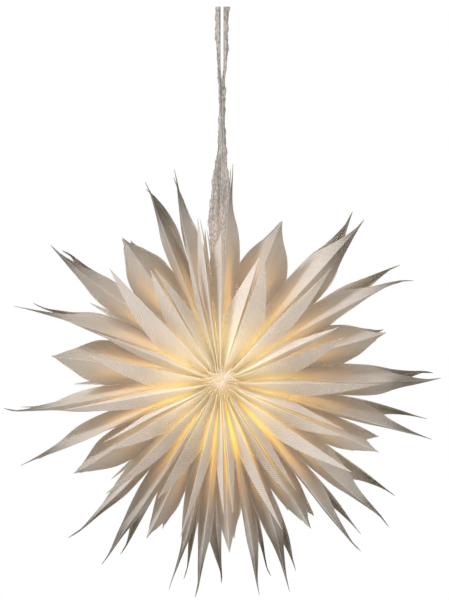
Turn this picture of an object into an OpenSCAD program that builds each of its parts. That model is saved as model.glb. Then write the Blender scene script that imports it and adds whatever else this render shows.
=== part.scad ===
// Hanging paper star, 60 cm across.
// The star is a fan of cut paper sheets that stand round one level axis, the Y axis.
// Each sheet is glued to one neighbour along its front edge, its middle and its back edge,
// and to the other neighbour along two lines between those, so the opened fan makes a
// honeycomb of pockets. The cut edge of the sheets gives short leaves in front and behind,
// with a ring of long spikes and broad leaves between them.
// Two crinkled paper bands, glued into the seam at the top, carry the star.
// The origin is the middle of the star. The front faces -Y, and +Z is up.

/* [Star] */
// Depth of the star from its front folds to its back folds
star_depth = 300; // [220:5:380]
// Reach of the long spikes from the middle of the star
spike_r = 301; // [250:1:340]
// Reach of the broad leaves
broad_r = 240; // [210:1:248]
// Reach of the long front leaves
long_leaf_r = 219; // [190:1:235]
// Reach of the short front leaves
short_leaf_r = 180; // [150:1:188]
// Distance of the spike seams behind the front folds
step_depth = 42; // [30:1:60]
// Radius of the deep notches between the front leaves
leaf_notch_r = 88; // [70:1:110]
// Radius of the notches between the spikes, at the middle of the depth
spike_notch_r = 168; // [150:1:185]
// How much the edges of the spikes bulge below and hollow above, where 0 is straight
spike_bulge = 0.42; // [0:0.02:0.7]
// The same for the broad leaves
broad_bulge = 0.3; // [0:0.02:0.7]

/* [Paper] */
// Thickness of one sheet with its coating
paper_t = 0.3; // [0.2:0.05:0.35]
// Thickness of the glue between two sheets
glue_t = 0.1; // [0.05:0.01:0.12]

/* [Core] */
// Radius of the hole at the front and the back hub
hub_r = 5; // [4.5:0.5:9]
// Radius of the space for the lamp, at the middle of the depth
core_r = 52; // [40:1:70]

/* [Bands] */
// Height of the top of the bands above the middle of the star
band_top = 530; // [450:1:700]
// Height of the lower end of the bands, inside the seam
band_foot = 118; // [105:1:140]
// Height at which the bands are widest, where they leave the star
band_wide_z = 235; // [200:1:280]
// Height of the waist, where the bands are squeezed together
band_waist_z = 360; // [320:1:400]
// Height from which the two bands part
band_part_z = 420; // [405:1:440]
// Thickness of a gathered band from front to back
band_t = 5; // [3:0.5:9]
// Width of one band at its lower end
band_foot_w = 8.2; // [4:0.1:10]
// Width of one band where it leaves the star
band_w = 15.5; // [10:0.5:18]
// Width of one band at the waist
band_waist_w = 4.6; // [3:0.1:7]
// Width of one band at its top
band_top_w = 8; // [5:0.5:12]
// Gap between the two bands where they lie side by side
band_gap = 0.3; // [0.2:0.1:0.6]
// Gap between the two bands at their top
band_top_gap = 4; // [1:0.5:8]

/* [Hidden] */
// Directions are degrees, seen from the front: 0 points right and 90 points up.
// Outer ends of the seams, clockwise from the hanger: each third one is a broad leaf.
seam_tip = [
    95, 86.9, 68, 48.3, 29, 17.8, 1, -15, -24, -40.1,
    -51, -58.2, -72.1, -80.1, -87.2, -96.2, -104.5, -115, -122.8, -133.9,
    -149, -157.2, -171.6, -189, -200.4, -218.4, -235.4, -249, -257.9, -263.5
];
// The same seams nearer the hub, where the leaves haven't sagged yet
seam_base = [
    95, 88, 70.5, 50, 34, 18.5, 3, -12.5, -23, -36,
    -48, -58, -69, -78, -87, -95.5, -104, -117, -124, -133.5,
    -149.5, -159.5, -174.5, -191.5, -206.5, -222.5, -237, -251, -258, -263.5
];
// How far the back end of each seam has turned against its front end
seam_turn = [
    0, 1.5, 2, 3.5, 4, 0, 1, 3, 2.5, 5,
    2, 0.5, 1.5, 1.5, 0.5, 6, 3.5, 3, 2.5, 0.5,
    1.5, 0.5, 0.5, 0, 0, 0, 0.5, 1.5, 3, 0
];
// The front and back folds, one in each pocket
fold_at = [
    91, 72.5, 70, 46, 25, 20, -0.5, -20.5, -23.5, -34,
    -55, -58.5, -67, -84, -88, -104, -118.5, -122.5, -135.5, -149.5,
    -153.5, -170, -191.5, -202, -226, -238.5, -240.5, -256, -263
];
// The notches between the spikes, one at the middle of each pocket
notch_at = [
    88, 82.5, 57.5, 40, 27, 7, -7.5, -18, -32.5, -46,
    -53, -66.5, -76.5, -81.5, -93.5, -101, -108.5, -121, -129, -138.5,
    -156, -164.5, -177, -199, -210, -223, -245, -253.5, -262.5
];
pockets = len(fold_at);
sheets = 2 * pockets;

// Direction of the open seam at the hub, where the fan of sheets begins and ends
seam_mid = 91;
// Even spacing of the pockets at the hub
even_step = 360 / pockets;
// The sheets leave their even spacing in a ring of this width, this far from the hub's edge
even_w = 43;
even_gap = 5;
// Distance of a sheet's middle from the plane of the seam that it's glued in
half_seam = (paper_t + glue_t) / 2;
// The sheets that end in the open seam stop here, and have no deep notch
seam_end_r = 0.9 * spike_notch_r;
seam_end_drop = 3;
// Notches at the broad leaves are deeper than the others
broad_notch_r = 0.7 * leaf_notch_r;
// The first row of the spikes at the middle of the depth stands at this radius
middle_row_r = 0.7 * spike_notch_r;
// Rows of the mesh below and above the notch, and columns of one leaf face and one spike face
low_rows = 3;
high_rows = 3;
front_cols = 1;
spike_cols = 3;
half_cols = front_cols + spike_cols;
all_cols = 2 * half_cols;
all_rows = low_rows + high_rows;

star_paper = [0.90, 0.86, 0.79];
band_paper = [0.72, 0.68, 0.62];

function sheet_name(i) = str("sheet_", i < 9 ? "0" : "", i + 1);

function mix(a, b, f) = a + (b - a) * f;
function ease(f) = let (g = min(1, max(0, f))) g * g * (3 - 2 * g);

// Share of a sheet's own direction, against the even spacing at the hub
function own_share(r) = ease((r - hub_r - even_gap) / even_w);

// A seam is straight from the hub to the leaf notch, and sags from there straight to its tip
function sag(r) = min(1, (1 / r - 1 / spike_r) / (1 / leaf_notch_r - 1 / spike_r));

function seam_angle(j, r, back) =
    let (even = seam_mid - even_step * j,
         own = mix(seam_tip[j], seam_base[j], sag(r)) + (back ? seam_turn[j] : 0))
    mix(even, own, own_share(r));

function fold_angle(k, r, back) =
    let (even = seam_mid - even_step * (k + 0.5),
         turn = back ? (seam_turn[k] + seam_turn[k + 1]) / 2 : 0)
    mix(even, fold_at[k] + turn, own_share(r));

// The middle seam of a pocket runs from halfway between its neighbours to its own notch
function middle_angle(k, r) =
    mix((seam_angle(k, r, false) + seam_angle(k + 1, r, false)) / 2, notch_at[k],
        ease((r - core_r) / (spike_notch_r - core_r)));

function is_open_seam(j) = j == 0 || j == pockets;
function is_broad(j) = j % 3 == 2 && !is_open_seam(j);
function is_long_leaf(k) = k % 3 == 0 || k == pockets - 1;
function is_top_leaf(k) = k == 0 || k == pockets - 2;

function tip_r(j) = is_open_seam(j) ? seam_end_r : is_broad(j) ? broad_r : spike_r;
function notch_r(j) =
    is_open_seam(j) ? seam_end_r - seam_end_drop : is_broad(j) ? broad_notch_r : leaf_notch_r;
function edge_bulge(j) = is_broad(j) ? broad_bulge : spike_bulge;

// The leaves beside the bands are of middle length
function leaf_r(k) =
    is_top_leaf(k) ? (long_leaf_r + short_leaf_r) / 2 : is_long_leaf(k) ? long_leaf_r : short_leaf_r;

// Columns run from the front fold (0) to the back fold (all_cols).
// Each is as far from its nearer fold as the mirrored one.
function from_fold(c) = min(c, all_cols - c);

// Depth of a column behind its nearer fold
function column_depth(c) =
    let (d = from_fold(c))
    d <= front_cols
        ? step_depth * d / front_cols
        : mix(step_depth, star_depth / 2, (d - front_cols) / spike_cols);

// How near a column is to the outer seam: 0 at a fold or the middle, 1 at the seam
function seam_share(c) =
    let (d = from_fold(c))
    d <= front_cols ? d / front_cols : 1 - (d - front_cols) / spike_cols;

function inner_r(c) = mix(hub_r, core_r, sin(90 * column_depth(c) * 2 / star_depth));

// Cut edge of a spike face: full above the notch and hollow near the tip
function outer_r(c, j) =
    let (s = seam_share(c))
    mix(spike_notch_r, tip_r(j), s + edge_bulge(j) * sin(360 * s) / (2 * PI));

function point_r(c, row, j, k) =
    let (notch = notch_r(j),
         d = from_fold(c),
         low_top = d < front_cols
             ? mix(leaf_r(k), notch, d / front_cols)
             : mix(notch, middle_row_r, (d - front_cols) / spike_cols))
    row <= low_rows
        ? mix(inner_r(c), low_top, row / low_rows)
        : mix(low_top, outer_r(c, j), (row - low_rows) / high_rows);

// Place of a point of the sheet's mesh. face is -1 or 1, for its two sides.
function sheet_point(c, row, face, k, side) =
    let (j = k + side,
         back = c > half_cols,
         r = point_r(c, row, j, k),
         share = seam_share(c),
         line = from_fold(c) <= front_cols ? fold_angle(k, r, back) : middle_angle(k, r),
         a = mix(line, seam_angle(j, r, back), share),
         lean = side == 0 ? 1 : -1,
         off = lean * half_seam * (1 - 2 * share) + face * paper_t / 2,
         depth = column_depth(c) - star_depth / 2,
         y = back ? -depth : depth)
    [r * cos(a) - off * sin(a), y, r * sin(a) + off * cos(a)];

// The front and back leaves have no mesh above the notch
function has_cell(c, row) =
    c >= 0 && c < all_cols && row >= 0 && row < all_rows
    && (row < low_rows || (c >= front_cols && c < all_cols - front_cols));

function point_no(c, row, face) = (c * (all_rows + 1) + row) * 2 + (face > 0 ? 1 : 0);

// Two triangles for four corners given clockwise, seen from outside
function quad(p) = [[p[0], p[1], p[2]], [p[0], p[2], p[3]]];

function rim(c0, r0, c1, r1) = quad([
    point_no(c0, r0, 1), point_no(c1, r1, 1), point_no(c1, r1, -1), point_no(c0, r0, -1)
]);

function cell_faces(c, row) = concat(
    quad([for (q = [[0, 0], [1, 0], [1, 1], [0, 1]]) point_no(c + q[0], row + q[1], 1)]),
    quad([for (q = [[0, 0], [0, 1], [1, 1], [1, 0]]) point_no(c + q[0], row + q[1], -1)]),
    has_cell(c - 1, row) ? [] : rim(c, row, c, row + 1),
    has_cell(c + 1, row) ? [] : rim(c + 1, row + 1, c + 1, row),
    has_cell(c, row - 1) ? [] : rim(c + 1, row, c, row),
    has_cell(c, row + 1) ? [] : rim(c, row + 1, c + 1, row + 1)
);

module paper_sheet(i) {
    k = floor(i / 2);
    side = i % 2;
    points = [
        for (c = [0 : all_cols], row = [0 : all_rows], face = [-1, 1])
            sheet_point(c, row, face, k, side)
    ];
    faces = [
        for (c = [0 : all_cols - 1], row = [0 : all_rows - 1])
            if (has_cell(c, row))
                for (f = cell_faces(c, row)) f
    ];
    color(star_paper) polyhedron(points, faces);
}

// A band is a strip of paper gathered lengthwise, lofted through rings of ring_n points.
// Its inner edge lies along the middle line of the pair, and both part near the top.
ring_n = 8;
band_rings = 22;
// The bands part within this height
parting_h = 30;
// The middle line of the pair, left of the star's axis at the foot and near it above
band_foot_x = -8;
band_top_x = -2;
// Creases of the outer edge and the faces: their depth, as a share of the width or the
// thickness, how far they turn in each millimetre of height, and their shift round the band
edge_crease = 0.06;
edge_pace = 8;
edge_shift = 40;
face_crease = 0.25;
face_pace = 11;
face_shift = 97;

function band_h(i) = mix(band_foot, band_top, i / band_rings);

function pair_middle(h) =
    mix(band_foot_x, band_top_x, ease((h - band_foot) / (band_waist_z - band_foot)));

function one_width(h) =
    let (low = mix(band_foot_w, band_w, ease((h - band_foot) / (band_wide_z - band_foot))),
         waist = mix(low, band_waist_w, ease((h - band_wide_z) / (band_waist_z - band_wide_z))))
    mix(waist, band_top_w, ease((h - band_part_z) / (band_top - band_part_z)));

function parting(h) = mix(band_gap, band_top_gap, ease((h - band_part_z) / parting_h)) / 2;

// way is -1 for the left band and 1 for the right one. along runs from the inner edge to the
// outer one, and the outer edge and the faces are creased.
function band_point(i, q, way) =
    let (h = band_h(i),
         turn = 360 * q / ring_n,
         along = (1 + way * sign(cos(turn)) * sqrt(abs(cos(turn)))) / 2,
         w = one_width(h) * (1 + edge_crease * sin(h * edge_pace + way * edge_shift)),
         crease = 1 + face_crease * sin(h * face_pace + q * face_shift))
    [pair_middle(h) + way * (parting(h) + w * along), band_t / 2 * sin(turn) * crease, h];

module paper_band(way) {
    points = [for (i = [0 : band_rings], q = [0 : ring_n - 1]) band_point(i, q, way)];
    walls = [
        for (i = [0 : band_rings - 1], q = [0 : ring_n - 1])
            let (a = i * ring_n + q,
                 b = i * ring_n + (q + 1) % ring_n)
            for (f = quad([a, a + ring_n, b + ring_n, b]))
                f
    ];
    foot = [for (q = [0 : ring_n - 1]) q];
    top = [for (q = foot) band_rings * ring_n + ring_n - 1 - q];
    color(band_paper) polyhedron(points, concat(walls, [foot, top]));
}

module band_left() { paper_band(-1); }
module band_right() { paper_band(1); }

for (i = [0 : sheets - 1])
    paper_sheet(i);
band_left();
band_right();
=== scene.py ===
"""Hanging star of cut paper sheets, lit from inside, with its two crinkled paper bands."""
import math

import bpy
import numpy as np
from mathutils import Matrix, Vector


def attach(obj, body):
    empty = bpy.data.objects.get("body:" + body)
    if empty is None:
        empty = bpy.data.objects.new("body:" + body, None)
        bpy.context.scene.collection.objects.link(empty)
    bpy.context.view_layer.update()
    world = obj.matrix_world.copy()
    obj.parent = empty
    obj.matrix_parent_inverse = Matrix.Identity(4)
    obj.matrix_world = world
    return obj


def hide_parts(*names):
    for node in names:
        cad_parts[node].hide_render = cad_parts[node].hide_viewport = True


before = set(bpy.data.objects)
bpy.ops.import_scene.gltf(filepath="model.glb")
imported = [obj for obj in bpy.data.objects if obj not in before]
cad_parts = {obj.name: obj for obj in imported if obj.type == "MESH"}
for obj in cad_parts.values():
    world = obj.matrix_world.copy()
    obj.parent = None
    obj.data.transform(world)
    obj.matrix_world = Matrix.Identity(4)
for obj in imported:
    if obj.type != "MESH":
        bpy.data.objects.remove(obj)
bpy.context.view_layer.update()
scene = bpy.context.scene
scene.view_settings.view_transform = "Standard"

# Camera
# The photograph is taken from in front of the star, a little to its right and a little
# above its middle. The front hub lies at pixel 220, 383 of the 449 x 600 picture.
PICTURE_W, PICTURE_H = 449, 600
HUB_PIXEL = (220.0, 383.0)
FOCAL_PIXELS = 2951.0
camera_place = np.array([0.13, -4.20, 0.145])
front_hub = np.array([0.0, -0.15, 0.0])
metres_per_pixel = (front_hub[1] - camera_place[1]) / FOCAL_PIXELS
camera_aim = front_hub + metres_per_pixel * np.array([
    PICTURE_W / 2 - HUB_PIXEL[0], 0.0, HUB_PIXEL[1] - PICTURE_H / 2])

camera_data = bpy.data.cameras.new("camera")
camera_data.sensor_fit = "VERTICAL"
camera_data.sensor_height = 36.0
camera_data.lens = FOCAL_PIXELS * camera_data.sensor_height / PICTURE_H
camera_data.clip_end = 20.0
camera = bpy.data.objects.new("camera", camera_data)
scene.collection.objects.link(camera)
scene.camera = camera


def aim(thing, place, target):
    """Put a lamp or camera at place and turn its -Z axis to the target."""
    thing.location = place
    way = Vector(target) - Vector(place)
    thing.rotation_euler = way.to_track_quat("-Z", "Y").to_euler()


aim(camera, camera_place, camera_aim)

# Star sheets
# Fifty-eight sheets of ribbed white paper, cut alike and glued edge to edge into twenty-nine
# pockets. Each sheet runs from the front folds to the back folds and zigzags between the
# seams, which point outwards like the spokes of a wheel. The spikes end in curled needles.
DEPTH = 0.300
STEP = 0.042
SPIKE_R = 0.301
BROAD_R = 0.240
LONG_LEAF_R = 0.219
SHORT_LEAF_R = 0.180
LEAF_NOTCH_R = 0.088
SPIKE_NOTCH_R = 0.168
PAPER_T = 0.0003
GLUE_T = 0.0001
HUB_R = 0.005
CORE_R = 0.052
HALF_SEAM = (PAPER_T + GLUE_T) / 2

# Directions in degrees, seen from the front: 0 points right and 90 points up.
SEAM_TIP = np.array([
    95, 86.9, 68, 48.3, 29, 17.8, 1, -15, -24, -40.1,
    -51, -58.2, -72.1, -80.1, -87.2, -96.2, -104.5, -115, -122.8, -133.9,
    -149, -157.2, -171.6, -189, -200.4, -218.4, -235.4, -249, -257.9, -263.5])
SEAM_BASE = np.array([
    95, 88, 70.5, 50, 34, 18.5, 3, -12.5, -23, -36,
    -48, -58, -69, -78, -87, -95.5, -104, -117, -124, -133.5,
    -149.5, -159.5, -174.5, -191.5, -206.5, -222.5, -237, -251, -258, -263.5])
# How far the back end of each seam has turned against its front end, in degrees.
SEAM_TURN = np.array([
    0, 1.5, 2, 3.5, 4, 0, 1, 3, 2.5, 5,
    2, 0.5, 1.5, 1.5, 0.5, 6, 3.5, 3, 2.5, 0.5,
    1.5, 0.5, 0.5, 0, 0, 0, 0.5, 1.5, 3, 0])
# Directions of each pocket's two folds and of its middle notch.
FOLD_AT = np.array([
    91, 72.5, 70, 46, 25, 20, -0.5, -20.5, -23.5, -34,
    -55, -58.5, -67, -84, -88, -104, -118.5, -122.5, -135.5, -149.5,
    -153.5, -170, -191.5, -202, -226, -238.5, -240.5, -256, -263])
NOTCH_AT = np.array([
    88, 82.5, 57.5, 40, 27, 7, -7.5, -18, -32.5, -46,
    -53, -66.5, -76.5, -81.5, -93.5, -101, -108.5, -121, -129, -138.5,
    -156, -164.5, -177, -199, -210, -223, -245, -253.5, -262.5])
# How the limp paper hangs between notch and tip, by seam, for the front and the back half of a
# spike: by how many degrees it is bent aside in the middle, and how far it is squeezed towards
# its seam. The spikes that aren't listed open a little instead.
BENT = {
    1: (1.0, 1.0), 2: (0.4, 0.6), 3: (0.0, -2.2), 4: (1.2, 0.3), 5: (-1.2, -1.2), 6: (-1.7, -2.4),
    7: (-0.5, 1.0), 9: (-0.8, 0.0), 12: (1.6, 1.8), 13: (0.5, 1.8), 15: (0.0, -1.5), 16: (2.0, 0.0),
    18: (0.8, 0.0), 19: (1.4, 1.0), 20: (0.8, 0.8), 21: (0.6, 0.4), 22: (0.6, 0.6), 23: (0.8, 0.8),
    24: (-0.6, 0.0), 25: (1.0, 2.5), 27: (0.0, -3.0), 28: (1.8, -1.5)}
SQUEEZED = {
    1: (0.2, 0.2), 2: (0.3, 0.3), 4: (0.4, 0.0), 5: (0.2, 0.2), 7: (0.1, 0.3), 9: (0.2, 0.2),
    13: (-1.0, 0.1), 16: (0.4, 0.2), 19: (0.3, 0.3), 21: (0.1, 0.1), 22: (0.5, 0.5), 24: (0.6, 0.4),
    27: (0.0, -0.4), 28: (0.3, 0.3)}
OPENED = (-0.15, -0.15)
SQUEEZE_R = 0.12
SQUEEZE_EASE = 0.06
# Curls of single needles, by seam and end, 0 for front and 1 for back: metres sideways and
# metres outwards at the tip. The other needles curl by chance, within the spreads below.
CURLED = {
    (3, 1): (0.004, 0.004), (4, 0): (-0.006, -0.002), (4, 1): (-0.003, 0.0),
    (9, 0): (-0.004, 0.006), (12, 0): (0.002, 0.008), (12, 1): (0.001, 0.003),
    (13, 0): (0.001, 0.002), (15, 1): (-0.004, 0.0), (16, 1): (-0.003, 0.003),
    (22, 0): (-0.007, 0.0), (24, 0): (0.002, 0.003), (24, 1): (-0.003, 0.0),
    (25, 1): (0.005, 0.0), (28, 0): (0.002, 0.0)}
CURL_LENGTH = 0.060
HOOK_MEAN = -0.001
HOOK_SPREAD = 0.003
BEND_MAX = 0.002
NOD_MAX = 0.006
# Leaves that show beyond a notch, by pocket: direction of the fold and reach of the leaf.
FRONT_LEAF = {0: (89.6, 0.208), 28: (-262.3, 0.229)}
BACK_LEAF = {5: (4.4, 0.213), 19: (-138.1, 0.229), 22: (-177.0, 0.227), 24: (-208.0, 0.227)}
# The leaves at both sides of the bands are cut wider: radius of their notch, by pocket and side.
WIDE_NOTCH = {(0, 0): 0.170, (0, 1): 0.150, (28, 0): 0.135, (28, 1): 0.162}

POCKETS = len(FOLD_AT)
SHEETS = 2 * POCKETS
SEAM_MID = 91.0
EVEN_STEP = 360 / POCKETS
# The folds leave the hub evenly spaced, and take their own directions over this width.
EVEN_GAP = 0.002
EVEN_W = 0.022
SEAM_END_DROP = 0.003
BROAD_NOTCH_R = 0.7 * LEAF_NOTCH_R
MIDDLE_ROW_R = 0.7 * SPIKE_NOTCH_R

# Columns of the grid across a leaf and a spike, and rows below and above the notches.
LEAF_COLS = 8
SPIKE_COLS = 14
HALF_COLS = LEAF_COLS + SPIKE_COLS
ALL_COLS = 2 * HALF_COLS
LOW_ROWS = 14
HIGH_ROWS = 24
ALL_ROWS = LOW_ROWS + HIGH_ROWS

# How the cut edges bulge between notch and tip, and how straight the edge of a leaf is.
SPIKE_BULGE = 0.42
BROAD_BULGE = 0.30
LEAF_STRAIGHT = 0.6
# A needle is the last tenth of a spike's height, on the last columns beside the seam.
NEEDLE = 0.10
NEEDLE_SHARE = 0.045
# The tip of a broad leaf is frayed, no two tips reach equally far, and the whole sheet wanders.
RAGGED = 0.05
RAGGED_SHARE = 0.86
TIP_SPREAD = 0.003
WANDER = 0.0016
WANDER_LENGTH = 0.11
# The columns crowd towards the seam, and folds past this angle show as creases.
COLUMN_CROWD = 1.3
SHARP_FOLD = math.radians(14)

# Colours of the lamplight that comes through the paper, with the strength of the cream and
# the pink light. Each light ends at its radius and fades over its width.
CREAM = (1.0, 0.86, 0.46)
PINK = (1.0, 0.80, 0.66)
YELLOW = (0.58, 0.43, 0.01)
AMBER = (0.22, 0.14, 0.06)
VEIL_HUB = 0.28
VEIL_END_R = 0.125
VEIL_FADE = 0.100
HAZE = 0.13
HAZE_END_R = 0.26
HAZE_FADE = 0.14
EMBER_START_R = 0.07
EMBER_END_R = 0.20
SLOT_EASE = 0.025
SLOT_FADE = 0.045


def ease(f):
    """Smooth step from 0 to 1."""
    g = np.clip(f, 0, 1)
    return g * g * (3 - 2 * g)


def own_share(r):
    """Share of a sheet's own direction at radius r, against the even spacing at the hub."""
    return ease((r - HUB_R - EVEN_GAP) / EVEN_W)


def seam_angle(j, r, back):
    """Direction of seam j at radius r.

    Its base direction up to the leaf notch, and from there a nearly straight line in space to its
    tip, because the angle goes with 1 / r. The back end is turned, and half a sine bends it aside.
    """
    even = SEAM_MID - EVEN_STEP * j
    sag = np.clip((1 / r - 1 / SPIKE_R) / (1 / LEAF_NOTCH_R - 1 / SPIKE_R), 0, 1)
    own = SEAM_TIP[j] + (SEAM_BASE[j] - SEAM_TIP[j]) * sag + SEAM_TURN[j] * back
    front_bend, back_bend = BENT.get(j, (0.0, 0.0))
    bend = front_bend + (back_bend - front_bend) * back
    past_notch = np.clip((r - LEAF_NOTCH_R) / (SPIKE_R - LEAF_NOTCH_R), 0, 1)
    own = own + bend * np.sin(np.pi * past_notch)
    return even + (own - even) * own_share(r)


def fold_angle(k, r, back):
    """Direction of the front and back folds of pocket k at radius r."""
    even = SEAM_MID - EVEN_STEP * (k + 0.5)
    at_back = FOLD_AT[k] + (SEAM_TURN[k] + SEAM_TURN[k + 1]) / 2
    at_back = BACK_LEAF[k][0] if k in BACK_LEAF else at_back
    at_front = FRONT_LEAF[k][0] if k in FRONT_LEAF else FOLD_AT[k]
    own = np.where(back, at_back, at_front)
    return even + (own - even) * own_share(r)


def middle_angle(k, r):
    """The middle seam of pocket k, from halfway between its neighbours to its own notch."""
    half = (seam_angle(k, r, 0) + seam_angle(k + 1, r, 0)) / 2
    return half + (NOTCH_AT[k] - half) * ease((r - CORE_R) / (SPIKE_NOTCH_R - CORE_R))


def is_open_seam(j):
    """The first and the last seam aren't glued to each other: the bands come out there."""
    return j in (0, POCKETS)


def is_broad(j):
    """Each third seam ends in a broad leaf in place of a spike."""
    return j % 3 == 2 and not is_open_seam(j)


def leaf_reach(k):
    """Reach of a pocket's leaves: two pockets near the bands are of middle length, and each
    third pocket and the last one are long."""
    if k in (0, POCKETS - 2):
        return (LONG_LEAF_R + SHORT_LEAF_R) / 2
    return LONG_LEAF_R if k % 3 == 0 or k == POCKETS - 1 else SHORT_LEAF_R


def waves(points, seed, length, count=6):
    """Smooth wandering in three directions: a sum of sines of about the given length."""
    dice = np.random.default_rng(seed)
    ways = dice.normal(size=(count, 3))
    ways /= np.linalg.norm(ways, axis=1, keepdims=True)
    pace = 2 * np.pi / (length * dice.uniform(0.7, 1.5, count))
    phase = dice.uniform(0, 2 * np.pi, count)
    lean = dice.normal(size=(count, 3)) / math.sqrt(count)
    turns = np.sin((points @ ways.T) * pace + phase)
    return turns @ lean


def sheet_shape(k, side):
    """Points of one sheet as (columns, rows, 3), and its flat coordinates.

    Column 0 is the front fold and the last column the back fold. Low rows run from the hub's
    edge to the notch, and high rows from there to the cut edge of the spikes. A point at
    radius r lies at the angle between its fold and its seam, by its share of the depth. The
    cut edge bulges near the notch and is hollow near the tip: share + bulge sin(2 pi share).
    """
    j = k + side
    col = np.arange(ALL_COLS + 1)
    near = np.minimum(col, ALL_COLS - col)
    back = (col > HALF_COLS)[:, None]
    in_leaf = near <= LEAF_COLS
    leaf_part = near / LEAF_COLS
    spike_part = np.clip((near - LEAF_COLS) / SPIKE_COLS, 0, 1) ** COLUMN_CROWD
    depth = np.where(in_leaf, STEP * leaf_part, STEP + (DEPTH / 2 - STEP) * spike_part)
    share = np.where(in_leaf, leaf_part, 1 - spike_part)

    dice = np.random.default_rng(100 + j)
    needle = 0.0 if is_broad(j) or is_open_seam(j) else NEEDLE
    bulge = BROAD_BULGE if is_broad(j) else SPIKE_BULGE
    low_part = (1 - needle) * (share + bulge * np.sin(2 * np.pi * share) / (2 * np.pi))
    reach = low_part + needle * ease((share - (1 - NEEDLE_SHARE)) / NEEDLE_SHARE)
    if is_broad(j):
        frayed = (share > RAGGED_SHARE) * (share < 1)
        reach = reach - dice.uniform(0, RAGGED, len(col)) * frayed
    tip = BROAD_R if is_broad(j) else SPIKE_R
    tip = tip + TIP_SPREAD * dice.uniform(-1, 1)
    notch = BROAD_NOTCH_R if is_broad(j) else LEAF_NOTCH_R
    notch = WIDE_NOTCH.get((k, side), notch)
    tip = notch + SEAM_END_DROP if is_open_seam(j) else tip
    outer = SPIKE_NOTCH_R + (tip - SPIKE_NOTCH_R) * reach

    usual = (0, leaf_reach(k))
    front_reach, back_reach = (own.get(k, usual)[1] for own in (FRONT_LEAF, BACK_LEAF))
    leaf = np.where(col > HALF_COLS, back_reach, front_reach)
    straight = 1 / (1 / leaf + leaf_part * (1 / notch - 1 / leaf))
    curved = leaf + (notch - leaf) * leaf_part
    inner = HUB_R + (CORE_R - HUB_R) * np.sin(np.pi * depth / DEPTH)
    low_top = np.where(near < LEAF_COLS, curved + (straight - curved) * LEAF_STRAIGHT,
                       notch + (MIDDLE_ROW_R - notch) * spike_part)
    row = np.arange(ALL_ROWS + 1)[None, :]
    low = inner[:, None] + (low_top - inner)[:, None] * row / LOW_ROWS
    high = low_top[:, None] + (outer - low_top)[:, None] * (row - LOW_ROWS) / HIGH_ROWS
    r = np.where(row <= LOW_ROWS, low, high)

    front_squeeze, back_squeeze = SQUEEZED.get(j, OPENED)
    squeeze = np.where(back, back_squeeze, front_squeeze) * ~in_leaf[:, None]
    squeeze = squeeze * ease((r - SQUEEZE_R) / SQUEEZE_EASE)
    s = share[:, None] + squeeze * np.sin(np.pi * share[:, None]) / np.pi
    seam = seam_angle(j, r, back)
    line = np.where(in_leaf[:, None], fold_angle(k, r, back), middle_angle(k, r))
    angle = np.radians(line + (seam - line) * s)
    lean = 1 if side == 0 else -1
    off = lean * HALF_SEAM * (1 - 2 * share[:, None])
    y = np.where(col <= HALF_COLS, depth - DEPTH / 2, DEPTH / 2 - depth)[:, None] + 0 * r
    middle = np.stack([r * np.cos(angle) - off * np.sin(angle), y,
                       r * np.sin(angle) + off * np.cos(angle)], axis=-1)
    across = np.stack([-np.sin(angle), 0 * r, np.cos(angle)], axis=-1)

    # The spikes curl: the front and the back tip of a seam each have a bend and a small hook.
    outwards = np.stack([np.cos(angle), 0 * r, np.sin(angle)], axis=-1)
    for end, half in enumerate((~back, back)):
        bend = dice.uniform(-BEND_MAX, BEND_MAX)
        hook = dice.normal(HOOK_MEAN, HOOK_SPREAD)
        nod = dice.uniform(-NOD_MAX, NOD_MAX)
        hook, stretch = CURLED.get((j, end), (hook, 0.0))
        along = np.clip((r - tip + CURL_LENGTH) / CURL_LENGTH, 0, 1) * half
        middle += outwards * (stretch * along ** 2)[..., None]
        if not is_broad(j):
            aside = bend * np.sin(np.pi * along) * along + hook * along ** 7
            middle += across * aside[..., None]
            middle[..., 1] += nod * along ** 3
    flat = np.stack([y, r], axis=-1)
    middle += waves(middle, 11, WANDER_LENGTH) * WANDER * ease((r - 0.05) / 0.10)[..., None]
    return middle, across, flat, lamp_glow(j, lean, near, in_leaf, spike_part, r)


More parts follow.
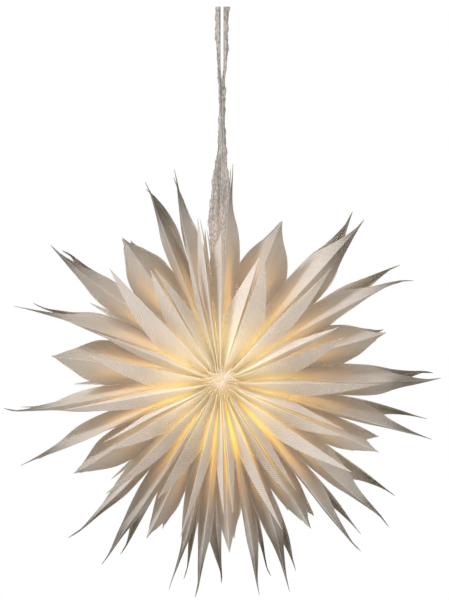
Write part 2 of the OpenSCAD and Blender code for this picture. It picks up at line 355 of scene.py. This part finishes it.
def lamp_glow(j, lean, near, in_leaf, spike_part, r):
    """Lamplight that shines through each point of a sheet, and how strongly painted lamplight tints
    the paper's colour.

    A cream veil fades along the leaves, in a pink haze that reaches further. Near the hub the veil
    is dimmed along the valleys, as painted shade in the creases. In the valleys, beside seam j, the
    paper shines yellow from the seam's first to its last radius, most of all in the lower half of
    the star, and amber further out. Each fade is a smooth step.
    """
    veil = VEIL_HUB * ease((VEIL_END_R - r) / VEIL_FADE) * (0.20 + 0.80 * ease((r - HUB_R) / 0.030))
    valley = np.where(in_leaf, near / LEAF_COLS, 1.0)[:, None]
    # Painted shade: the veil is dimmed along the valleys near the hub, so the creases read darker.
    veil = veil * (1.15 - 0.85 * valley * ease((0.085 - r) / 0.050))
    haze = HAZE * ease((HAZE_END_R - r) / HAZE_FADE) * (0.3 + 0.7 * ease((r - 0.02) / 0.05))
    dice = np.random.default_rng(900 + 2 * j + (lean > 0))
    way = math.radians(SEAM_TIP[j])
    strength = (0.30 + 0.70 * max(0.0, -math.sin(way))) * dice.uniform(0.45, 1.0)
    strength = strength * (1.0 if dice.uniform() < 0.7 else 0.35)
    first, last = dice.uniform(0.010, 0.045), dice.uniform(0.105, 0.150)
    window = ease((r - first) / SLOT_EASE) * ease((last + 0.02 - r) / SLOT_FADE)
    beside = np.where(in_leaf, ease((near / LEAF_COLS - 0.60) / 0.36), (1 - spike_part) ** 3)
    beside = beside[:, None]
    slot = strength * window * beside
    ember = np.where(in_leaf, 0, np.sin(np.pi * np.clip(spike_part * 1.4, 0, 1)))[:, None]
    ember = ember * ease((r - EMBER_START_R) / 0.03) * ease((EMBER_END_R - r) / 0.06)
    ember = ember * dice.uniform(0.4, 1.0)
    light = np.array(CREAM) * veil[..., None] + np.array(PINK) * haze[..., None]
    light = light + np.array(YELLOW) * slot[..., None] + np.array(AMBER) * ember[..., None]
    # The second value is painted lamplight laid into the paper's colour: yellow in the slots, a
    # little from the amber, and near the hub.
    near_hub = ease((0.034 - r) / 0.020)
    return light, np.clip(slot * 1.1 + ember * 0.22 + 0.30 * near_hub, 0, 1)


def has_cell():
    """Which cells of the grid a sheet has: its leaves stop at the notch."""
    col = np.arange(ALL_COLS)[:, None]
    row = np.arange(ALL_ROWS)[None, :]
    return (row < LOW_ROWS) | ((col >= LEAF_COLS) & (col < ALL_COLS - LEAF_COLS))


def closed_sheet(name, middle, across, flat, tone, light, lamp_tint):
    """A thin closed mesh: the grid half a thickness to each side, joined round every free edge."""
    cells = has_cell()
    rows = ALL_ROWS + 1
    number = np.arange((ALL_COLS + 1) * rows).reshape(ALL_COLS + 1, rows)
    count = number.size
    a, b = number[:-1, :-1], number[1:, :-1]
    c, d = number[1:, 1:], number[:-1, 1:]
    front = np.stack([a, b, c, d], axis=-1)[cells]
    back = front[:, ::-1] + count
    padded = np.pad(cells, 1)
    rims = []
    for shift, start, end in (((-1, 0), a, d), ((1, 0), c, b), ((0, -1), b, a), ((0, 1), d, c)):
        beside = padded[1 + shift[0]:padded.shape[0] - 1 + shift[0],
                        1 + shift[1]:padded.shape[1] - 1 + shift[1]]
        free = cells & ~beside
        first, last = start[free], end[free]
        rims.append(np.stack([first, last, last + count, first + count], axis=-1))
    faces = np.concatenate([front, back] + rims)
    half = across * PAPER_T / 2
    points = np.concatenate([(middle + half).reshape(-1, 3), (middle - half).reshape(-1, 3)])
    used, renumbered = np.unique(faces, return_inverse=True)
    mesh = bpy.data.meshes.new(name)
    mesh.from_pydata(points[used], [], renumbered.reshape(-1, 4))
    layer = mesh.uv_layers.new(name="paper")
    both = np.concatenate([flat.reshape(-1, 2)] * 2)
    layer.data.foreach_set("uv", both[faces].reshape(-1).astype(np.float32))
    grid = used % count
    for label, values in (("tone", np.full(count, tone)), ("lamp_tint", lamp_tint.reshape(-1))):
        layer = mesh.attributes.new(label, "FLOAT", "POINT")
        layer.data.foreach_set("value", values[grid].astype(np.float32))
    layer = mesh.attributes.new("lamplight", "FLOAT_VECTOR", "POINT")
    layer.data.foreach_set("vector", light.reshape(-1, 3)[grid].reshape(-1).astype(np.float32))
    mesh.polygons.foreach_set("use_smooth", np.ones(len(faces), dtype=bool))
    mesh.set_sharp_from_angle(angle=SHARP_FOLD)
    mesh.update()
    return mesh


def paper_material():
    """White ribbed paper that lets light through, glows with painted lamplight, and has painted
    lamplight and painted shade laid into its colour.
    """
    material = bpy.data.materials.new("star_paper")
    material.use_nodes = True
    nodes, links = material.node_tree.nodes, material.node_tree.links
    nodes.clear()
    out = nodes.new("ShaderNodeOutputMaterial")
    solid = nodes.new("ShaderNodeBsdfPrincipled")
    through = nodes.new("ShaderNodeBsdfTranslucent")
    blend = nodes.new("ShaderNodeMixShader")
    solid.inputs["Roughness"].default_value = 0.85
    solid.inputs["Specular IOR Level"].default_value = 0.15
    through.inputs["Color"].default_value = (0.86, 0.79, 0.67, 1)
    blend.inputs["Fac"].default_value = 0.38

    # Colour: nearly white, a little different from sheet to sheet, with faint cloudy fibres,
    # and painted shade that greys it towards the tips of the spikes and along the bottoms of the
    # ribs
    tone = nodes.new("ShaderNodeAttribute")
    tone.attribute_name = "tone"
    place = nodes.new("ShaderNodeTexCoord")
    parts = nodes.new("ShaderNodeSeparateXYZ")
    links.new(place.outputs["Object"], parts.inputs["Vector"])
    flat_place = nodes.new("ShaderNodeCombineXYZ")
    links.new(parts.outputs["X"], flat_place.inputs["X"])
    links.new(parts.outputs["Z"], flat_place.inputs["Z"])
    radius = nodes.new("ShaderNodeVectorMath")
    radius.operation = "LENGTH"
    links.new(flat_place.outputs["Vector"], radius.inputs[0])

    def between(value, low, high, to_low, to_high):
        """to_low where value is low, to_high where it is high, and a smooth step between."""
        node = nodes.new("ShaderNodeMapRange")
        node.interpolation_type = "SMOOTHSTEP"
        ends = {"From Min": low, "From Max": high, "To Min": to_low, "To Max": to_high}
        for socket, number in ends.items():
            node.inputs[socket].default_value = number
        links.new(value, node.inputs["Value"])
        return node.outputs["Result"]

    def maths(kind, first, second):
        """One Math node. Each input is a socket or a number."""
        node = nodes.new("ShaderNodeMath")
        node.operation = kind
        for socket, value in zip(node.inputs, (first, second)):
            if isinstance(value, (int, float)):
                socket.default_value = value
            else:
                links.new(value, socket)
        return node.outputs["Value"]

    cloud = nodes.new("ShaderNodeTexNoise")
    cloud.inputs["Scale"].default_value = 38.0
    cloud.inputs["Detail"].default_value = 5.0
    links.new(place.outputs["Object"], cloud.inputs["Vector"])

    uv = nodes.new("ShaderNodeUVMap")
    uv.uv_map = "paper"
    turn = nodes.new("ShaderNodeMapping")
    turn.inputs["Rotation"].default_value = (0, 0, math.radians(18))
    ribs = nodes.new("ShaderNodeTexWave")
    ribs.bands_direction = "Y"
    ribs.inputs["Scale"].default_value = 105.0
    ribs.inputs["Distortion"].default_value = 1.2
    ribs.inputs["Detail"].default_value = 2.0
    ribs.inputs["Detail Scale"].default_value = 0.6
    links.new(uv.outputs["UV"], turn.inputs["Vector"])
    links.new(turn.outputs["Vector"], ribs.inputs["Vector"])

    bright = maths("ADD", tone.outputs["Fac"], maths("MULTIPLY", cloud.outputs["Fac"], 0.40))
    # Painted shade: the ribs are darker in their hollows and lighter on their crests.
    bright = maths("ADD", bright, maths("MULTIPLY", ribs.outputs["Fac"], 0.12))
    # Painted shade: the paper greys towards the tips of the spikes, from 0.20 to 0.30 m out.
    bright = maths("SUBTRACT", bright, between(radius.outputs["Value"], 0.20, 0.30, 0.0, 0.85))
    paint = nodes.new("ShaderNodeValToRGB")
    paint.color_ramp.elements[0].position = 0.0
    paint.color_ramp.elements[0].color = (0.24, 0.215, 0.19, 1)
    grey = paint.color_ramp.elements.new(0.30)
    grey.color = (0.56, 0.52, 0.48, 1)
    paint.color_ramp.elements[2].position = 1.0
    paint.color_ramp.elements[2].color = (0.88, 0.845, 0.80, 1)
    links.new(bright, paint.inputs["Fac"])
    # Painted lamplight laid into the paper's colour: yellow where the lamp shines through most.
    lamp_tint = nodes.new("ShaderNodeAttribute")
    lamp_tint.attribute_name = "lamp_tint"
    lamp_tint_mix = nodes.new("ShaderNodeMixRGB")
    lamp_tint_mix.inputs["Color2"].default_value = (0.88, 0.62, 0.10, 1)
    links.new(lamp_tint.outputs["Fac"], lamp_tint_mix.inputs["Fac"])
    links.new(paint.outputs["Color"], lamp_tint_mix.inputs["Color1"])
    links.new(lamp_tint_mix.outputs["Color"], solid.inputs["Base Color"])

    bump = nodes.new("ShaderNodeBump")
    bump.inputs["Strength"].default_value = 0.8
    bump.inputs["Distance"].default_value = 0.0008
    links.new(ribs.outputs["Fac"], bump.inputs["Height"])
    links.new(bump.outputs["Normal"], solid.inputs["Normal"])
    links.new(bump.outputs["Normal"], through.inputs["Normal"])

    # Lamplight that comes through from inside
    light = nodes.new("ShaderNodeAttribute")
    light.attribute_name = "lamplight"
    links.new(light.outputs["Color"], solid.inputs["Emission Color"])
    solid.inputs["Emission Strength"].default_value = 1.0

    links.new(solid.outputs["BSDF"], blend.inputs[1])
    links.new(through.outputs["BSDF"], blend.inputs[2])
    links.new(blend.outputs["Shader"], out.inputs["Surface"])
    return material


star_paper = paper_material()
tones = np.random.default_rng(7).uniform(0.05, 0.55, SHEETS)
for i in range(SHEETS):
    node = f"sheet_{i + 1:02d}"
    middle, across, flat, (light, lamp_tint) = sheet_shape(i // 2, i % 2)
    mesh = closed_sheet(f"paper_{node}", middle, across, flat, tones[i], light, lamp_tint)
    mesh.materials.append(star_paper)
    piece = bpy.data.objects.new(f"paper_{node}", mesh)
    scene.collection.objects.link(piece)
    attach(piece, "root")
    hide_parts(node)

# Bands
# Two strips of crumpled paper, gathered lengthwise, that carry the star. They are glued into
# the open seam at the top, squeezed to a waist above the star and cut flat at their ends.

# Heights are above the middle of the star, and widths are of one band.
BAND_TOP = 0.530
BAND_FOOT = 0.118
BAND_WIDE_Z = 0.235
BAND_WAIST_Z = 0.360
BAND_PART_Z = 0.420
BAND_FOOT_W = 0.0082
BAND_W = 0.0155
BAND_WAIST_W = 0.0046
BAND_FLARE_W = 0.0036
BAND_T = 0.005
BAND_GAP = 0.0003
BAND_TOP_GAP = 0.004
BAND_FOOT_X = -0.008
BAND_TOP_X = -0.002
RING = 72
RINGS = 200


def band_width(h):
    """Width of one band: narrow in the seam, full above the star, a waist, then wider again."""
    widening = ease((h - BAND_FOOT) / (BAND_WIDE_Z - BAND_FOOT))
    narrowing = ease((h - BAND_WIDE_Z) / (BAND_WAIST_Z - BAND_WIDE_Z))
    flaring = ease((h - BAND_PART_Z) / (BAND_TOP - BAND_PART_Z))
    foot = BAND_FOOT_W + (BAND_W - BAND_FOOT_W) * widening
    waist = foot + (BAND_WAIST_W - foot) * narrowing
    return waist + BAND_FLARE_W * flaring


def band_shape(way):
    """Points of one band as (rings, points round, 3) and its flat coordinates.

    Ring by ring up the band: a flat rounded outline, width by thickness, whose surface is
    thrown into lengthwise pleats that wander: half thickness times 1 + sines of the turn and
    height. Only the outer edge wanders, so the two bands stay apart.
    """
    h = np.linspace(BAND_FOOT, BAND_TOP, RINGS)[:, None]
    turn = np.linspace(0, 2 * np.pi, RING, endpoint=False)[None, :]
    flat = np.sign(np.cos(turn)) * np.abs(np.cos(turn)) ** 0.6
    wander = 0.0008 * np.sin(h * 95 + way) + 0.0006 * np.sin(h * 213 + 2 * way)
    wander = wander + 0.0004 * np.sin(h * 431)
    width = band_width(h)
    upright = ease((h - BAND_FOOT) / (BAND_WAIST_Z - BAND_FOOT))
    lean = BAND_FOOT_X + (BAND_TOP_X - BAND_FOOT_X) * upright
    part = (BAND_GAP + (BAND_TOP_GAP - BAND_GAP) * ease((h - BAND_PART_Z) / 0.03)) / 2
    drift = 2.2 * np.sin(h * 31 + way) + 1.3 * np.sin(h * 77 + 3 * way)
    pleats = (0.16 * np.sin(9 * turn + drift) + 0.10 * np.sin(17 * turn - 1.6 * drift + 2)
              + 0.08 * np.sin(31 * turn + 2.5 * drift + 5 * np.sin(h * 160)))
    edge = np.abs(flat) ** 6
    x = lean + way * (part + width * (1 + way * flat) / 2)
    free = (way * flat > 0) * edge
    x = x + way * free * (wander + 0.0003 * np.sin(h * 900 + way))
    y = BAND_T / 2 * np.sin(turn) * (1 + pleats) * (0.75 + 0.5 * np.sin(h * 60 + way) ** 2)
    y = y + 0.0012 * np.sin(h * 47 + flat * 2.5 + way)
    points = np.stack([x, y, h + 0 * x], axis=-1)
    coords = np.stack([flat * width / 2 + 0 * h, h + 0 * flat], axis=-1)
    return points, coords


def closed_band(name, points, coords):
    """The rings joined into a tube, with a fan of faces over each end."""
    rings, round_n = points.shape[:2]
    ring = np.arange(rings - 1)[:, None] * round_n
    here = ring + np.arange(round_n)[None, :]
    beside = ring + (np.arange(round_n)[None, :] + 1) % round_n
    walls = np.stack([here, beside, beside + round_n, here + round_n], axis=-1).reshape(-1, 4)
    foot_n, top_n = rings * round_n, rings * round_n + 1
    first = np.arange(round_n)
    after = (first + 1) % round_n
    last = (rings - 1) * round_n
    foot = np.stack([after, first, np.full(round_n, foot_n)], axis=-1)
    top = np.stack([first + last, after + last, np.full(round_n, top_n)], axis=-1)
    ends = [points[0].mean(axis=0), points[-1].mean(axis=0)]
    all_points = np.concatenate([points.reshape(-1, 3), ends])
    mesh = bpy.data.meshes.new(name)
    mesh.from_pydata(all_points, [], walls.tolist() + foot.tolist() + top.tolist())
    layer = mesh.uv_layers.new(name="band")
    flat = np.concatenate([coords.reshape(-1, 2), [[0, BAND_FOOT], [0, BAND_TOP]]])
    corners = np.zeros(len(mesh.loops), dtype=np.int32)
    mesh.loops.foreach_get("vertex_index", corners)
    layer.data.foreach_set("uv", flat[corners].reshape(-1).astype(np.float32))
    mesh.polygons.foreach_set("use_smooth", np.ones(len(mesh.polygons), dtype=bool))
    mesh.update()
    return mesh


def band_material():
    """Crumpled grey-beige paper: a net of fine creases, painted lighter on the ridges and with
    painted shade between.

    Low on the bands, near the star, it glows a little with the lamplight.
    """
    material = bpy.data.materials.new("band_paper")
    material.use_nodes = True
    nodes, links = material.node_tree.nodes, material.node_tree.links
    nodes.clear()
    out = nodes.new("ShaderNodeOutputMaterial")
    solid = nodes.new("ShaderNodeBsdfPrincipled")
    solid.inputs["Roughness"].default_value = 0.9
    solid.inputs["Specular IOR Level"].default_value = 0.12
    place = nodes.new("ShaderNodeTexCoord")
    stretch = nodes.new("ShaderNodeMapping")
    stretch.inputs["Scale"].default_value = (1.0, 1.0, 0.45)
    links.new(place.outputs["Object"], stretch.inputs["Vector"])
    creases = nodes.new("ShaderNodeTexNoise")
    creases.inputs["Scale"].default_value = 480.0
    creases.inputs["Detail"].default_value = 6.0
    creases.inputs["Roughness"].default_value = 0.65
    links.new(stretch.outputs["Vector"], creases.inputs["Vector"])
    # Painted shade: the hollows between the creases are drawn dark and the ridges pale, following
    # the bump height.
    paint = nodes.new("ShaderNodeValToRGB")
    paint.color_ramp.elements[0].position = 0.34
    paint.color_ramp.elements[0].color = (0.20, 0.175, 0.155, 1)
    paint.color_ramp.elements[1].position = 0.68
    paint.color_ramp.elements[1].color = (0.62, 0.575, 0.53, 1)
    links.new(creases.outputs["Fac"], paint.inputs["Fac"])
    links.new(paint.outputs["Color"], solid.inputs["Base Color"])
    height = nodes.new("ShaderNodeSeparateXYZ")
    links.new(place.outputs["Object"], height.inputs["Vector"])
    warmth = nodes.new("ShaderNodeMapRange")
    warmth.inputs["From Min"].default_value = 0.27
    warmth.inputs["From Max"].default_value = 0.15
    warmth.inputs["To Max"].default_value = 0.22
    links.new(height.outputs["Z"], warmth.inputs["Value"])
    solid.inputs["Emission Color"].default_value = (1.0, 0.72, 0.50, 1)
    links.new(warmth.outputs["Result"], solid.inputs["Emission Strength"])
    bump = nodes.new("ShaderNodeBump")
    bump.inputs["Strength"].default_value = 0.9
    bump.inputs["Distance"].default_value = 0.0012
    links.new(creases.outputs["Fac"], bump.inputs["Height"])
    links.new(bump.outputs["Normal"], solid.inputs["Normal"])
    links.new(solid.outputs["BSDF"], out.inputs["Surface"])
    return material


band_paper = band_material()
for name, way in (("band_left", -1), ("band_right", 1)):
    points, coords = band_shape(way)
    mesh = closed_band(f"crinkled_{name}", points, coords)
    mesh.materials.append(band_paper)
    piece = bpy.data.objects.new(f"crinkled_{name}", mesh)
    scene.collection.objects.link(piece)
    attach(piece, "root")
    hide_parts(name)

# Studio
# A pale floor well below the hanging star, a plain white surround, a square lamp high on the
# left, and a warm bulb inside the star. The camera sees the floor and the surround pure white.
FLOOR_Z = -1.0
FLOOR_HALF = 6
floor_corners = [(FLOOR_HALF * x, FLOOR_HALF * y, FLOOR_Z)
                 for x, y in ((-1, -1), (1, -1), (1, 1), (-1, 1))]
floor_mesh = bpy.data.meshes.new("floor")
floor_mesh.from_pydata(floor_corners, [], [(0, 1, 2, 3)])
floor = bpy.data.objects.new("floor", floor_mesh)
scene.collection.objects.link(floor)
floor_paint = bpy.data.materials.new("floor_paint")
floor_paint.use_nodes = True
nodes, links = floor_paint.node_tree.nodes, floor_paint.node_tree.links
nodes.clear()
out = nodes.new("ShaderNodeOutputMaterial")
matt = nodes.new("ShaderNodeBsdfDiffuse")
matt.inputs["Color"].default_value = (0.8, 0.8, 0.8, 1)
white = nodes.new("ShaderNodeEmission")
path = nodes.new("ShaderNodeLightPath")
mix = nodes.new("ShaderNodeMixShader")
links.new(path.outputs["Is Camera Ray"], mix.inputs["Fac"])
links.new(matt.outputs["BSDF"], mix.inputs[1])
links.new(white.outputs["Emission"], mix.inputs[2])
links.new(mix.outputs["Shader"], out.inputs["Surface"])
floor_mesh.materials.append(floor_paint)

world = bpy.data.worlds.new("studio")
world.use_nodes = True
scene.world = world
nodes, links = world.node_tree.nodes, world.node_tree.links
nodes.clear()
out = nodes.new("ShaderNodeOutputWorld")
sky = nodes.new("ShaderNodeBackground")
sky.inputs["Color"].default_value = (1, 1, 1, 1)
sky.inputs["Strength"].default_value = 0.84
seen = nodes.new("ShaderNodeBackground")
seen.inputs["Color"].default_value = (1, 1, 1, 1)
path = nodes.new("ShaderNodeLightPath")
mix = nodes.new("ShaderNodeMixShader")
links.new(path.outputs["Is Camera Ray"], mix.inputs["Fac"])
links.new(sky.outputs["Background"], mix.inputs[1])
links.new(seen.outputs["Background"], mix.inputs[2])
links.new(mix.outputs["Shader"], out.inputs["Surface"])

key_data = bpy.data.lights.new("key", "AREA")
key_data.size = 1.0
key_data.energy = 90
key = bpy.data.objects.new("key", key_data)
scene.collection.objects.link(key)
aim(key, (-1.8, -2.2, 2.2), (0, 0, 0))

bulb_data = bpy.data.lights.new("bulb", "POINT")
bulb_data.shadow_soft_size = 0.03
bulb_data.energy = 4
bulb_data.color = (1.0, 0.80, 0.52)
bulb = bpy.data.objects.new("bulb", bulb_data)
scene.collection.objects.link(bulb)
